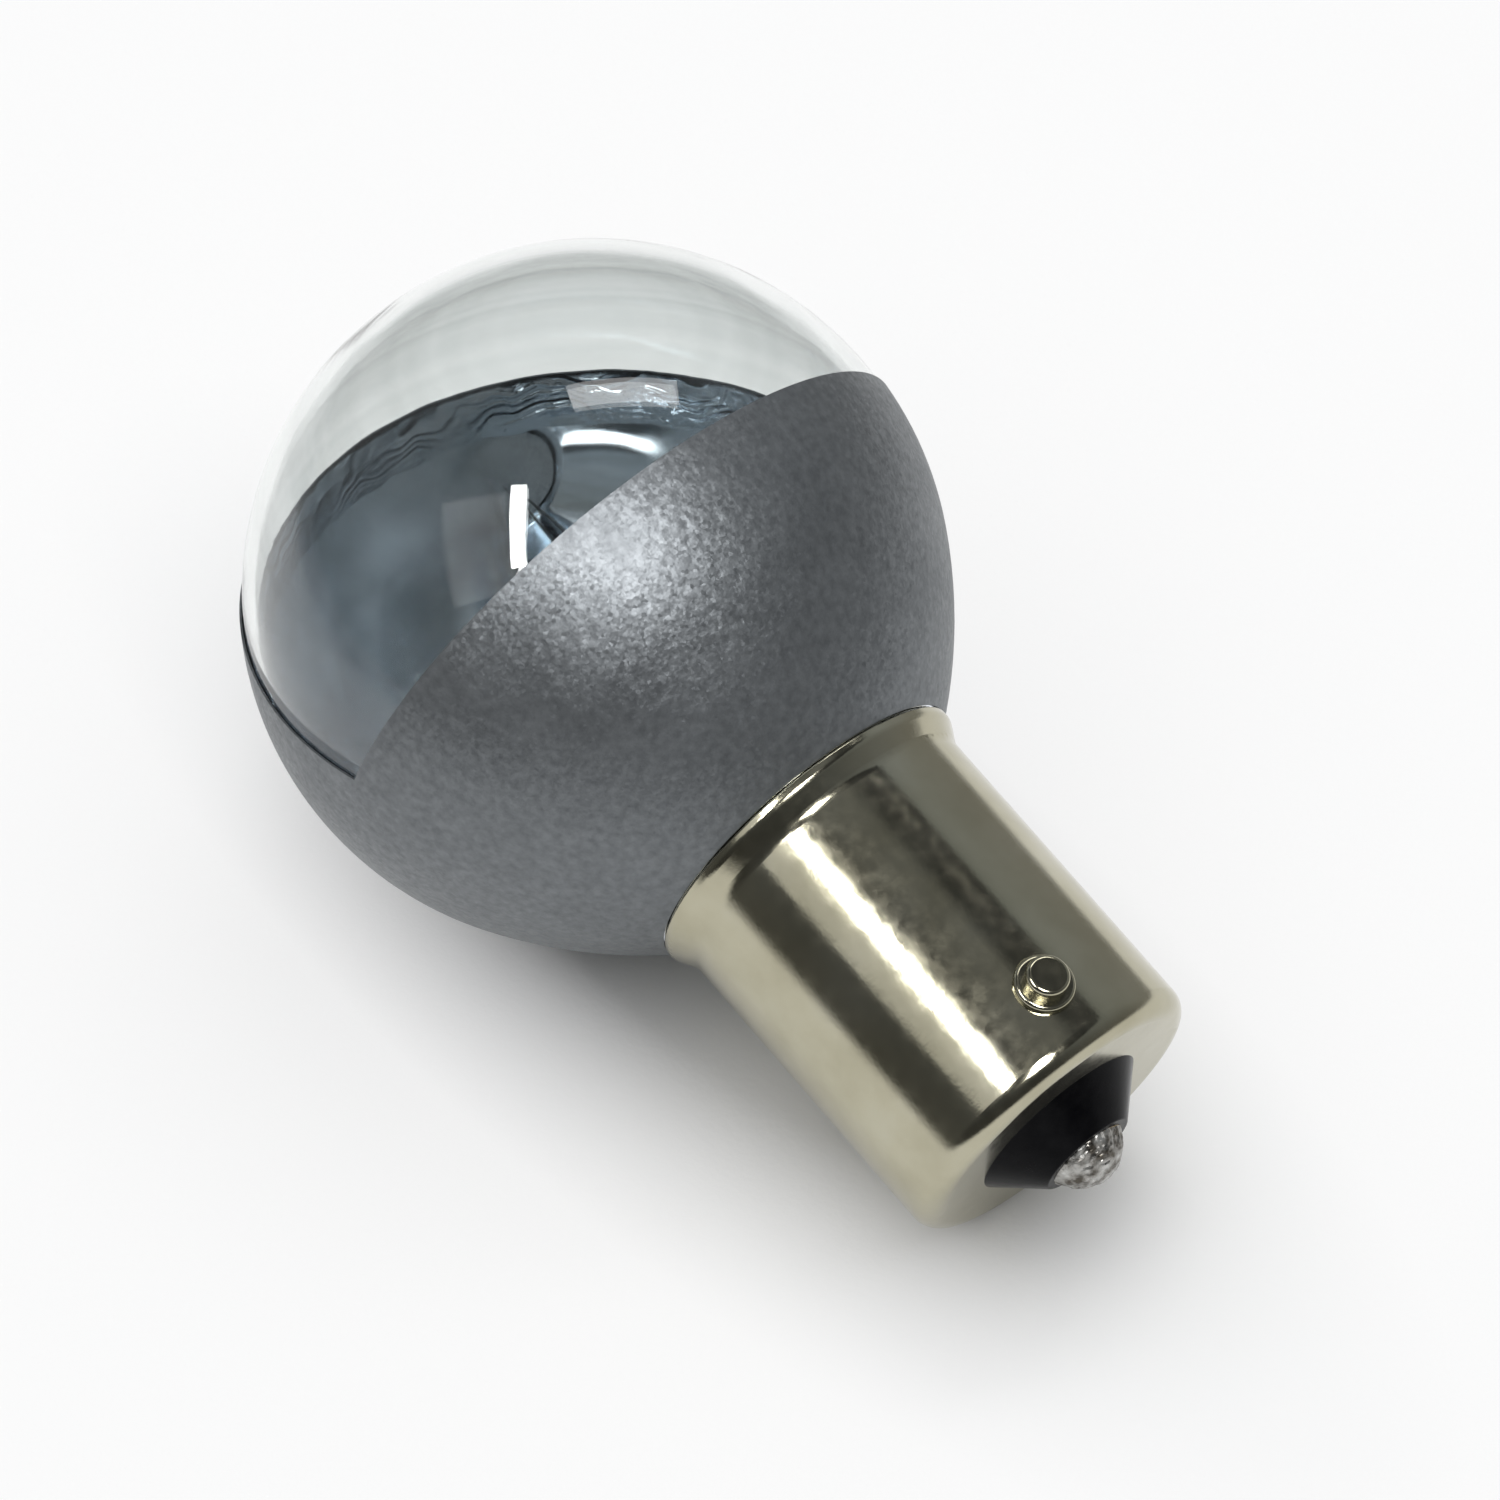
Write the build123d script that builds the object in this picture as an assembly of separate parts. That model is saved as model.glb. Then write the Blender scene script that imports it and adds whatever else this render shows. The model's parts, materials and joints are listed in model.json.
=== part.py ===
from build123d import *
import math
import os

# Sizes are in millimetres and angles in degrees. A station is a distance along the lamp axis
# from the centre of the globe, positive towards the cap.

# Glass globe, its shoulder and its neck
GLOBE_DIA = 31.75
GLASS_WALL = 0.6
SHOULDER_RADIUS = 24.0
SHOULDER_START = 60.0
NECK_FILLET = 2.2
NECK_IN_CAP = 8.7

# Skins on the glass and the clear window that they leave
MIRROR_THICKNESS = 0.05
PAINT_THICKNESS = 0.10
WINDOW_STATION = 1.75
WINDOW_SLOPE = 22.5
WINDOW_ROLL = 3.3
SKIN_TO_LIP = 0.06

# Bayonet shell
CAP_DIA = 15.2
CAP_WALL = 0.25
CAP_LENGTH = 17.5
CAP_END_FILLET = 1.0
CAP_HOLE_DIA = 8.6
LIP_TO_GLASS = 0.11
LIP_BAND = 0.4
LIP_FLARE = 1.0
LIP_OUTER_FILLET = 0.5
LIP_INNER_FILLET = 0.9
LIP_EDGE_SHARE = 0.4

# Bayonet pins, one nearer to the contact than the other
PIN_DIA = 2.0
PIN_STANDOUT = 1.1
PIN_EDGE_FILLET = 0.22
PIN_COLLAR_DIA = 2.8
PIN_COLLAR_HEIGHT = 0.35
PIN_COLLAR_FILLET = 0.2
PIN_SHANK_DIA = 1.5
PIN_RIVET_DIA = 2.4
PIN_RIVET_HEIGHT = 0.4
PIN_FROM_CONTACT = 7.0
PIN_STEP = 3.2

# Insulator and end contact
INSULATOR_TO_PIN = 0.6
INSULATOR_HEIGHT = 1.95
INSULATOR_TOP_DIA = 4.6
INSULATOR_TOP_FILLET = 0.12
CONTACT_PLATE_RIM = 0.4
CONTACT_PLATE_THICKNESS = 0.3
SOLDER_RIM = 0.2
SOLDER_HEIGHT = 1.5

# Cement ring between neck and shell
CEMENT_FROM_LIP = 0.4
CEMENT_FROM_NECK_END = 1.3

# Bright disc across the mouth of the neck
DISC_CLEARANCE = 0.15
DISC_THICKNESS = 0.2
DISC_BEFORE_NECK = 1.1
DISC_EDGE_FILLET = 0.08

# Stem and exhaust tube
STEM_DIA = 7.0
STEM_WALL = 0.8
PINCH_TO_DISC = 0.4
PINCH_LENGTH = 2.2
PINCH_THICKNESS = 2.6
PINCH_TAPER = 1.5
EXHAUST_DIA = 3.0
EXHAUST_WALL = 0.45
EXHAUST_PAST_NECK = 3.4
EXHAUST_TIP_LENGTH = 1.6
EXHAUST_TIP_DIA = 0.8
BLOW_HOLE_DIA = 1.2
BLOW_HOLE_DEPTH = 1.3

# Lead wires, and the turn of stem, leads and filament about the axis
MOUNT_TURN = -40.0
LEAD_DIA = 0.30
LEAD_CLEARANCE = 0.025
LEAD_BEND = 0.7
LEAD_END = 0.8
LEAD_STRAIGHT = 2.0
LEAD_BEFORE_DISC = 0.9
LEAD_HOLE_DIA = 0.8
LIVE_TURN_GAP = 0.6
RETURN_PAST_NECK = 1.3
RETURN_STANDOUT = 0.15
RETURN_SLOPE = 45.0
NOTCH_CLEARANCE = 0.08
RIM_SOLDER_RADIUS = 1.1
RIM_SOLDER_SINK = 0.45

# Filament and its support
COIL_DIA = 0.95
COIL_TURNS = 14
COIL_LENGTH = 6.0
FILAMENT_DIA = 0.15
FILAMENT_LEG = 0.63
FILAMENT_SIDES = 6
SUPPORT_DIA = 0.22
SUPPORT_CLEARANCE = 0.06
SUPPORT_IN_PINCH = 1.3

# Neck, which leaves room for a lead between its mirror and the shell
globe_radius = GLOBE_DIA / 2
skin_thickness = MIRROR_THICKNESS + PAINT_THICKNESS
cap_radius = CAP_DIA / 2
cap_bore = cap_radius - CAP_WALL
lead_room = LEAD_DIA + 2 * LEAD_CLEARANCE
neck_radius = cap_bore - lead_room - MIRROR_THICKNESS
neck_bore = neck_radius - GLASS_WALL

# Arc of the shoulder, and the fillet that joins it to the neck
shoulder_start = math.radians(SHOULDER_START)
shoulder_offset = SHOULDER_RADIUS - globe_radius
shoulder_centre = Vector(math.cos(shoulder_start), math.sin(shoulder_start)) * -shoulder_offset
fillet_reach = SHOULDER_RADIUS + NECK_FILLET
fillet_angle = math.asin((neck_radius + NECK_FILLET - shoulder_centre.Y) / fillet_reach)
fillet_end = shoulder_centre.X + fillet_reach * math.cos(fillet_angle)
fillet_centre = Vector(fillet_end, neck_radius + NECK_FILLET)

# Lip, pushed on as far as the start of that fillet
cap_station = shoulder_centre.X + SHOULDER_RADIUS * math.cos(fillet_angle)
glass_at_lip = shoulder_centre.Y + SHOULDER_RADIUS * math.sin(fillet_angle)
lip_radius = glass_at_lip + LIP_TO_GLASS + CAP_WALL
lip_foot = cap_station + LIP_BAND + LIP_FLARE
neck_end = cap_station + NECK_IN_CAP

# Far end of the cap
cap_end = cap_station + CAP_LENGTH
cone_top = cap_end + INSULATOR_HEIGHT
contact_tip = cone_top + SOLDER_HEIGHT
contact_plate_radius = INSULATOR_TOP_DIA / 2 - CONTACT_PLATE_RIM
upper_pin_station = contact_tip - PIN_FROM_CONTACT
lower_pin_station = upper_pin_station - PIN_STEP
insulator_back = upper_pin_station + PIN_RIVET_DIA / 2 + INSULATOR_TO_PIN

# Disc, stem, leads and filament
disc_station = fillet_end - DISC_BEFORE_NECK
disc_back = disc_station + DISC_THICKNESS
stem_radius = STEM_DIA / 2
stem_bore = stem_radius - STEM_WALL
pinch_station = disc_back + PINCH_TO_DISC
pinch_base = pinch_station + PINCH_LENGTH + PINCH_TAPER
exhaust_radius = EXHAUST_DIA / 2
exhaust_tip = neck_end + EXHAUST_PAST_NECK
lead_in_stem = (exhaust_radius + stem_bore) / 2
lead_at_filament = COIL_LENGTH / 2 + FILAMENT_LEG + LEAD_DIA / 2

# A length past everything, the placing of a solid by the middle of its foot, and the turn
far = 2 * GLOBE_DIA
ON_FOOT = (Align.CENTER, Align.CENTER, Align.MIN)
mount_turn = Rot(MOUNT_TURN, 0, 0)


def turned(*edges):
    """Solid turned about the lamp axis from a closed outline of stations and radii."""
    return revolve(make_face(edges), Axis.X)


def rod(radius, start, end):
    """Round rod on the lamp axis between two stations."""
    return Plane.YZ.offset(start) * Cylinder(radius, end - start, align=ON_FOOT)


def wire(points, diameter, bend):
    """Round wire along straight runs with rounded corners."""
    path = FilletPolyline(*points, radius=bend)
    section = Plane(origin=path @ 0, z_dir=path % 0) * Circle(diameter / 2)
    return sweep(section, path=path)


def bulb_body(skin):
    """Globe, shoulder and neck as one full body, its surface moved outwards by skin."""
    neck = neck_radius + skin
    low = math.degrees(fillet_angle)
    return turned(
        CenterArc((0, 0), globe_radius + skin, SHOULDER_START, 180 - SHOULDER_START),
        CenterArc(shoulder_centre, SHOULDER_RADIUS + skin, low, SHOULDER_START - low),
        CenterArc(fillet_centre, NECK_FILLET - skin, 180 + low, 90 - low),
        Line((fillet_end, neck), (neck_end, neck)),
        Line((neck_end, neck), (neck_end, 0)),
        Line((neck_end, 0), (-globe_radius - skin, 0)),
    )


def cap_body(inset):
    """Full body inside the shell's surface moved inwards by inset, from the lip to the end."""
    slope = math.atan2(lip_radius - cap_radius, LIP_FLARE)
    shift = inset * math.tan(slope / 2)
    crest = Vector(cap_station + LIP_BAND - shift, lip_radius - inset)
    foot = Vector(lip_foot - shift, cap_radius - inset)
    shoulder = Vector(cap_end - inset, cap_radius - inset)
    outline = Polyline(
        (cap_station, 0), (cap_station, crest.Y), crest, foot, shoulder, (shoulder.X, 0), close=True
    )
    face = make_face(outline).face()
    rounds = [
        (crest, LIP_OUTER_FILLET - inset),
        (foot, LIP_INNER_FILLET + inset),
        (shoulder, CAP_END_FILLET - inset),
    ]
    for corner, radius in rounds:
        face = face.fillet_2d(radius, [face.vertices().sort_by_distance(corner)[0]])
    return revolve(face, Axis.X)


def window_wedge():
    """Space over the clear window: beyond its station and above its sloping border."""
    fall = math.tan(math.radians(WINDOW_SLOPE))
    corner = (WINDOW_STATION, WINDOW_STATION * fall)
    outline = Polyline(corner, (WINDOW_STATION, far), (-far, far), (-far, -far * fall), close=True)
    wedge = extrude(Plane.XZ * make_face(outline), amount=far, both=True)
    return Rot(-WINDOW_ROLL, 0, 0) * wedge


def skin_between(inner, outer):
    """Skin on the glass between two offsets, open at the window."""
    return bulb_body(outer) - bulb_body(inner) - window_wedge()


def paint_coat():
    """Paint over the mirror, up to the lip."""
    return skin_between(MIRROR_THICKNESS, skin_thickness) - rod(far, cap_station - SKIN_TO_LIP, far)


def bayonet_pin(station, side):
    """Pin with a collar on the shell, a shank through its wall and a riveted end inside."""
    post = Cylinder(PIN_DIA / 2, cap_radius + PIN_STANDOUT, align=ON_FOOT)
    post = fillet(post.edges().sort_by(Axis.Z)[-1], PIN_EDGE_FILLET)
    collar_top = cap_radius + PIN_COLLAR_HEIGHT
    collar = Cylinder(PIN_COLLAR_DIA / 2, collar_top, align=ON_FOOT)
    collar = fillet(collar.edges().sort_by(Axis.Z)[-1], PIN_COLLAR_FILLET)
    outside = post + collar - rod(cap_radius, -far, far)
    inside_floor = cap_bore - PIN_RIVET_HEIGHT
    above_floor = Pos(0, 0, inside_floor) * Box(far, far, far, align=ON_FOOT)
    rivet = Cylinder(PIN_RIVET_DIA / 2, far) & rod(cap_bore, -far, far) & above_floor
    shank = Cylinder(PIN_SHANK_DIA / 2, far) & rod(cap_radius, -far, far) & above_floor
    return Pos(station, 0, 0) * Rot(0 if side > 0 else 180, 0, 0) * (outside + shank + rivet)


def shank_hole(station, side):
    """Hole in the shell's wall for a pin's shank."""
    hole = Cylinder(PIN_SHANK_DIA / 2, far, align=ON_FOOT)
    return Pos(station, 0, 0) * Rot(0 if side > 0 else 180, 0, 0) * hole


def lead_start(side):
    """Points that both leads share, from the filament's end to the disc."""
    outer = side * lead_at_filament
    bend_station = disc_station - LEAD_BEFORE_DISC
    return [(-LEAD_END, outer), (LEAD_STRAIGHT, outer), (bend_station, side * lead_in_stem)]


def live_lead():
    """Lead down the stem and over to the axis, through the insulator to the solder."""
    points = lead_start(-1)
    points += [
        (exhaust_tip + LIVE_TURN_GAP, -lead_in_stem),
        (insulator_back - LIVE_TURN_GAP, 0),
        (cone_top, 0),
    ]
    return wire(points, LEAD_DIA, LEAD_BEND)


def return_lead():
    """Lead down the stem, round the neck's end, up beside the neck and out through the lip."""
    beside_neck = cap_bore - lead_room / 2
    below_neck = neck_end + RETURN_PAST_NECK
    rise = lip_radius + RETURN_STANDOUT - beside_neck
    run = rise / math.tan(math.radians(RETURN_SLOPE))
    points = lead_start(1)
    points += [
        (below_neck, lead_in_stem),
        (below_neck, beside_neck),
        (fillet_end, beside_neck),
        (fillet_end - run, beside_neck + rise),
    ]
    return wire(points, LEAD_DIA, LEAD_BEND)


def lip_notch():
    """Nick in the lip that the return lead comes out through."""
    width = LEAD_DIA + 2 * NOTCH_CLEARANCE
    bend_length = LEAD_BEND * math.tan(math.radians(RETURN_SLOPE / 2))
    length = fillet_end + bend_length + NOTCH_CLEARANCE - cap_station
    nick = Box(length, far, width, align=(Align.MIN, Align.MIN, Align.CENTER))
    return Pos(cap_station, 0, 0) * nick


def rim_solder(lead):
    """Blob of solder over the end of the return lead, on the outside of the lip."""
    blob = Pos(lip_foot - LIP_FLARE, lip_radius - RIM_SOLDER_SINK, 0) * Sphere(RIM_SOLDER_RADIUS)
    return blob - cap_body(0) - bulb_body(skin_thickness) - rod(lip_radius, -far, cap_station) - lead


def cap_shell():
    """Drawn shell with its flared lip, rounded end, contact hole, pin holes and nick."""
    shell = cap_body(0) - cap_body(CAP_WALL) - rod(CAP_HOLE_DIA / 2, cap_end - far, cap_end + far)
    lip_edges = shell.edges().filter_by(GeomType.CIRCLE).group_by(Axis.X)[0]
    shell = fillet(lip_edges, LIP_EDGE_SHARE * CAP_WALL) - mount_turn * lip_notch()
    return shell - shank_hole(upper_pin_station, 1) - shank_hole(lower_pin_station, -1)


def insulator():
    """Black glass plug: a disc inside the shell's end and a cone outside it."""
    disc = cap_body(CAP_WALL) & rod(far, insulator_back, cap_end)
    hole_radius = CAP_HOLE_DIA / 2
    top_radius = INSULATOR_TOP_DIA / 2
    outline = Polyline(
        (insulator_back, 0), (insulator_back, hole_radius), (cap_end, hole_radius), (cone_top, top_radius),
        (cone_top, 0), close=True
    )
    cone = fillet(turned(outline).edges().sort_by(Axis.X)[-1], INSULATOR_TOP_FILLET)
    plate_seat = rod(contact_plate_radius, cone_top - CONTACT_PLATE_THICKNESS, far)
    return disc + cone - plate_seat - rod(LEAD_HOLE_DIA / 2, 0, far)


def contact_plate():
    """Brass plate let into the cone's top, with a hole for the live lead."""
    plate = rod(contact_plate_radius, cone_top - CONTACT_PLATE_THICKNESS, cone_top)
    return plate - rod(LEAD_HOLE_DIA / 2, 0, far)


def contact_solder():
    """Domed solder on the contact plate."""
    base = INSULATOR_TOP_DIA / 2 - SOLDER_RIM
    radius = (base**2 + SOLDER_HEIGHT**2) / (2 * SOLDER_HEIGHT)
    centre = contact_tip - radius
    spread = math.degrees(math.atan2(base, cone_top - centre))
    return turned(
        CenterArc((centre, 0), radius, 0, spread),
        Line((contact_tip, 0), (cone_top, 0)),
        Line((cone_top, 0), (cone_top, base)),
    )


def basing_cement(lead):
    """Cement that fills the gap between neck and shell, cast round the return lead."""
    start = lip_foot + CEMENT_FROM_LIP
    return rod(cap_bore, start, neck_end - CEMENT_FROM_NECK_END) - bulb_body(MIRROR_THICKNESS) - lead


def deflector_disc(support):
    """Disc held on the support wire, with a wide hole round each lead."""
    disc = rod(neck_bore - DISC_CLEARANCE, disc_station, disc_back)
    disc = fillet(disc.edges(), DISC_EDGE_FILLET)
    for side in (-1, 1):
        disc = disc - Pos(0, side * lead_in_stem, 0) * rod(LEAD_HOLE_DIA / 2, 0, far)
    return disc - support


def glass_stem(pieces_through):
    """Stem tube, flared to the neck's wall at one end and pinched on the wires at the other."""
    flare = neck_bore - stem_radius
    turn = neck_end - STEM_WALL - flare
    tube = turned(
        Line((pinch_base, stem_radius), (turn, stem_radius)),
        CenterArc((turn, neck_bore), flare, -90, 90),
        Line((turn + flare, neck_bore), (neck_end, neck_bore)),
        CenterArc((turn, neck_bore), flare + STEM_WALL, -90, 90),
        Line((turn, stem_bore), (pinch_base, stem_bore)),
        Line((pinch_base, stem_bore), (pinch_base, stem_radius)),
    )
    half = PINCH_THICKNESS / 2
    flat_end = pinch_station + PINCH_LENGTH
    squeeze = Polyline(
        (pinch_station, half), (flat_end, half), (pinch_base, stem_radius), (pinch_base, -stem_radius),
        (flat_end, -half), (pinch_station, -half), close=True
    )
    pinch = rod(stem_radius, pinch_station, pinch_base)
    pinch = pinch & extrude(Plane.XZ * make_face(squeeze), amount=stem_radius, both=True)
    bore_end = pinch_base - BLOW_HOLE_DEPTH
    blow_radius = BLOW_HOLE_DIA / 2
    side_hole = Pos(bore_end, 0, 0) * Cylinder(blow_radius, far, align=ON_FOOT)
    stem = tube + pinch - rod(blow_radius, bore_end, pinch_base) - side_hole
    for piece in pieces_through:
        stem = stem - piece
    return stem


def exhaust_tube():
    """Tube from the pinch down the stem, drawn to a point where it was sealed off."""
    bore = exhaust_radius - EXHAUST_WALL
    tip_start = exhaust_tip - EXHAUST_TIP_LENGTH
    outline = Polyline(
        (pinch_base, bore),
        (pinch_base, exhaust_radius),
        (tip_start, exhaust_radius),
        (exhaust_tip, EXHAUST_TIP_DIA / 2),
        (exhaust_tip, 0),
        (exhaust_tip - EXHAUST_TIP_DIA, 0),
        (tip_start, bore),
        close=True,
    )
    return turned(outline)


def filament():
    """Coil of tungsten wire between the leads, with a straight leg at each end."""
    mean_radius = (COIL_DIA - FILAMENT_DIA) / 2
    start = Plane(origin=(0, -COIL_LENGTH / 2, 0), x_dir=(1, 0, 0), z_dir=(0, 1, 0))
    path = start * Helix(pitch=COIL_LENGTH / COIL_TURNS, height=COIL_LENGTH, radius=mean_radius)
    section = Plane(origin=path @ 0, z_dir=path % 0) * RegularPolygon(FILAMENT_DIA / 2, FILAMENT_SIDES)
    coil = sweep(section, path=path, is_frenet=True)
    for side in (-1, 1):
        joint = Pos(mean_radius, side * COIL_LENGTH / 2, 0)
        straight = Rot(-90 * side, 0, 0) * Cylinder(FILAMENT_DIA / 2, FILAMENT_LEG, align=ON_FOOT)
        coil = coil + joint * straight + joint * Sphere(FILAMENT_DIA / 2)
    return coil


def filament_support():
    """Wire from the pinch that ends in a ring round the middle of the coil."""
    ring_radius = (COIL_DIA + SUPPORT_DIA) / 2 + SUPPORT_CLEARANCE
    ring = Rot(90, 0, 0) * Torus(ring_radius, SUPPORT_DIA / 2)
    return ring + rod(SUPPORT_DIA / 2, ring_radius, pinch_station + SUPPORT_IN_PINCH)


def lying(pieces):
    """Places the pieces as the lamp lies: on the globe and on the rounded end of the cap."""
    arm = math.hypot(cap_end - CAP_END_FILLET, cap_radius - CAP_END_FILLET)
    rise = math.atan2(cap_radius - CAP_END_FILLET, cap_end - CAP_END_FILLET)
    globe_outside = globe_radius + skin_thickness
    tilt = math.degrees(math.asin((globe_outside - CAP_END_FILLET) / arm) - rise)
    placed = {name: Pos(0, 0, globe_outside) * Rot(0, tilt, 0) * piece for name, piece in pieces.items()}
    box = Compound(children=[Compound(piece.solids()) for piece in placed.values()]).bounding_box()
    return {name: Pos(-box.center().X, 0, 0) * piece for name, piece in placed.items()}


live = live_lead()
returning = return_lead()
support = filament_support()
lamp = {
    "glass_bulb": bulb_body(0) - bulb_body(-GLASS_WALL),
    "mirror_film": skin_between(0, MIRROR_THICKNESS),
    "paint_coat": paint_coat(),
    "cap_shell": cap_shell(),
    "bayonet_pin_upper": bayonet_pin(upper_pin_station, 1),
    "bayonet_pin_lower": bayonet_pin(lower_pin_station, -1),
    "insulator": insulator(),
    "contact_plate": contact_plate(),
    "contact_solder": contact_solder(),
    "basing_cement": mount_turn * basing_cement(returning),
    "deflector_disc": mount_turn * deflector_disc(support),
    "glass_stem": mount_turn * glass_stem([live, returning, support]),
    "exhaust_tube": exhaust_tube(),
    "live_lead": mount_turn * live,
    "return_lead": mount_turn * returning,
    "rim_solder": mount_turn * rim_solder(returning),
    "filament": mount_turn * filament(),
    "filament_support": mount_turn * support,
}

os.makedirs("parts", exist_ok=True)
for node, piece in lying(lamp).items():
    export_step(piece, f"parts/{node}.step")
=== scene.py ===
import json
import math

import bmesh
import bpy
from mathutils import Matrix, Vector, noise as lumps


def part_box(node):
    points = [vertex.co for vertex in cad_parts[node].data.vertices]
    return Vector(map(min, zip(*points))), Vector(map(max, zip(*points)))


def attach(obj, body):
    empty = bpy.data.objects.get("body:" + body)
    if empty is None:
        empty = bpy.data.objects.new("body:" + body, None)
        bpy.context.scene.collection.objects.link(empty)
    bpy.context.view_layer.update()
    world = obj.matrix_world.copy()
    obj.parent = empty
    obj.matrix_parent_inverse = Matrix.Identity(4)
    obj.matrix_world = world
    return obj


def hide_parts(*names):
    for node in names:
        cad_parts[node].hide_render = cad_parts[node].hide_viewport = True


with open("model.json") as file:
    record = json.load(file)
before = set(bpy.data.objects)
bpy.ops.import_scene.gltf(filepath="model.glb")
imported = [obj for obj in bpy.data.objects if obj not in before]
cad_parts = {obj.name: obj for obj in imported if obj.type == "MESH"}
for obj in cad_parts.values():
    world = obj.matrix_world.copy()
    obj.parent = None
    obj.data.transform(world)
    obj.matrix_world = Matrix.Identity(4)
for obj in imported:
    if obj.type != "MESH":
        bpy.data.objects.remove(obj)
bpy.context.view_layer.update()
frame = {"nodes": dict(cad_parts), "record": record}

# Lengths are in metres and angles in degrees. A station is a distance along the lamp axis from
# the centre of the globe, positive towards the cap. The lamp's own axes are along, across and
# upward, from the centre of the globe.

# Glass and skins, as in the part's source
GLASS_WALL = 0.0006
SHOULDER_RADIUS = 0.024
SHOULDER_START = 60.0
NECK_RADIUS = 0.00695
NECK_FILLET = 0.0022
NECK_IN_CAP = 0.0087
MIRROR_THICKNESS = 0.00005
PAINT_THICKNESS = 0.0001
MIRROR_SINK = 0.00002
SKIN_TO_LIP = 0.00006
WINDOW_STATION = 0.00175
WINDOW_SLOPE = 22.5
WINDOW_ROLL = 3.3

# Fineness of the turned meshes, and the radius below which a point counts as on the axis
TURN_SEGMENTS = 192
ARC_STEP = 2.0
NECK_STEPS = 8
SHARP_ANGLE = 35.0
ON_AXIS = 1e-9

# Disc across the neck's mouth: how far it reaches beyond the part's disc, and its broken edge
DISC_REACH = 0.00027
DISC_RIM = 0.00005

# Solder of the end contact, as in the part's source, and its lumps and pits
SOLDER_RADIUS = 0.0021
SOLDER_HEIGHT = 0.0015
SOLDER_ROWS = 72
LUMP_DEPTH = 0.0003
LUMP_SIZE = 0.0011
PIT_DEPTH = 0.0001
PIT_SIZE = 0.00035

# Range in which most values of a noise texture lie
NOISE_LOW = 0.35
NOISE_HIGH = 0.65

# Colours of the surfaces, each a place in the range of a noise and a colour there
GLASS_CAST = ((0.35, (0.8, 0.825, 0.815)), (0.5, (0.88, 0.905, 0.895)), (0.65, (0.93, 0.95, 0.94)))
SILVER = ((0.35, (0.82, 0.85, 0.905)), (0.65, (0.86, 0.89, 0.945)))
PAINT = ((0.3, (0.15, 0.161, 0.17)), (0.7, (0.21, 0.224, 0.235)))
NICKEL = ((0.3, (0.41, 0.385, 0.28)), (0.55, (0.47, 0.445, 0.335)), (0.8, (0.51, 0.49, 0.39)))
BLACK_GLASS = ((0.35, (0.002, 0.002, 0.003)), (0.7, (0.006, 0.006, 0.007)))
SOLDER = ((0.36, (0.1, 0.09, 0.075)), (0.5, (0.34, 0.33, 0.31)), (0.68, (0.56, 0.56, 0.54)))
CEMENT = ((0.3, (0.38, 0.29, 0.19)), (0.7, (0.58, 0.47, 0.34)))

# Glass: how strongly it bends light, and the width of its streaks
GLASS_IOR = 1.5
STREAK_SIZE = 0.0016

# Thin dark edge of the silvering: its colour, where it begins and ends, and how ragged it is
EDGE_COLOUR = (0.03, 0.03, 0.032, 1)
EDGE_DARK = 0.00012
EDGE_CLEAR = 0.0003
EDGE_RAGGED = 0.0001

# Silvering: its roughness, and the side, in the lamp's own axes, towards which it grows cloudy
SILVER_ROUGH = 0.03
CLOUDED_ROUGH = 0.22
CLOUDED_SIDE = (-0.636, -0.75, -0.183)
CLOUD_START = 0.0042
CLOUD_END = 0.0078

# Puckers of the silvering near the window: width, waver and depth, and where they fade out
PUCKER_SIZE = 0.0009
PUCKER_WAVER = 0.0012
PUCKER_DEPTH = 0.00022
PUCKER_START = 0.0012
PUCKER_REACH = 0.003

# Flakes in the paint: their size, how far they lean and how metallic they make it
FLAKE_SIZE = 0.00016
FLAKE_LEAN = 0.13
FLAKE_METAL = 0.8

# Shine of the black glass, and how far the roughness of stained metal varies
BLACK_GLASS_SHINE = 0.06
STAIN_ROUGH = 0.15

# Camera: image side and focal length in pixels, and where the globe's centre is in its view
IMAGE_SIDE = 1500
FOCAL_PIXELS = 9000
SENSOR_WIDTH = 36.0
CLIP_START = 0.01
CAMERA_FORWARD = Vector((-0.489, 0.432, -0.757)).normalized()
GLOBE_IN_VIEW = Vector((-0.00695, -0.00713, 0.40449))

# Floor: its size, and its painted pool of light, white near the lamp and fading to grey far from it
FLOOR_RADIUS = 0.3
FLOOR_SEGMENTS = 96
POOL_OF_LIGHT_REACH = 0.075
POOL_OF_LIGHT_FADE = 0.15
POOL_OF_LIGHT_COLOUR = (0.96, 0.96, 0.96)
OUTSIDE_POOL_COLOUR = (0.42, 0.42, 0.42)

# Painted glow mixed into the floor, which whitens the floor's shadow except close to the lamp: its share,
# the distances from the lamp between which it grows, and how much those distances are squeezed along the lamp
PAINTED_GLOW_SHARE = 0.7
PAINTED_GLOW_START = 0.006
PAINTED_GLOW_END = 0.016
PAINTED_GLOW_SQUEEZE = 0.35

# Room: colours by height, from the horizon at 0 to the zenith at 1, and the side that is darker
ROOM_TONES = (
    (0.0, (0.18, 0.18, 0.175)),
    (0.6, (0.195, 0.207, 0.217)),
    (0.72, (0.18, 0.193, 0.203)),
    (0.76, (0.035, 0.037, 0.039)),
    (0.93, (0.045, 0.048, 0.051)),
    (0.985, (0.165, 0.172, 0.178)),
)
ROOM_DARK_SIDE = (0.72, -0.69, 0.0)

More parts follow.
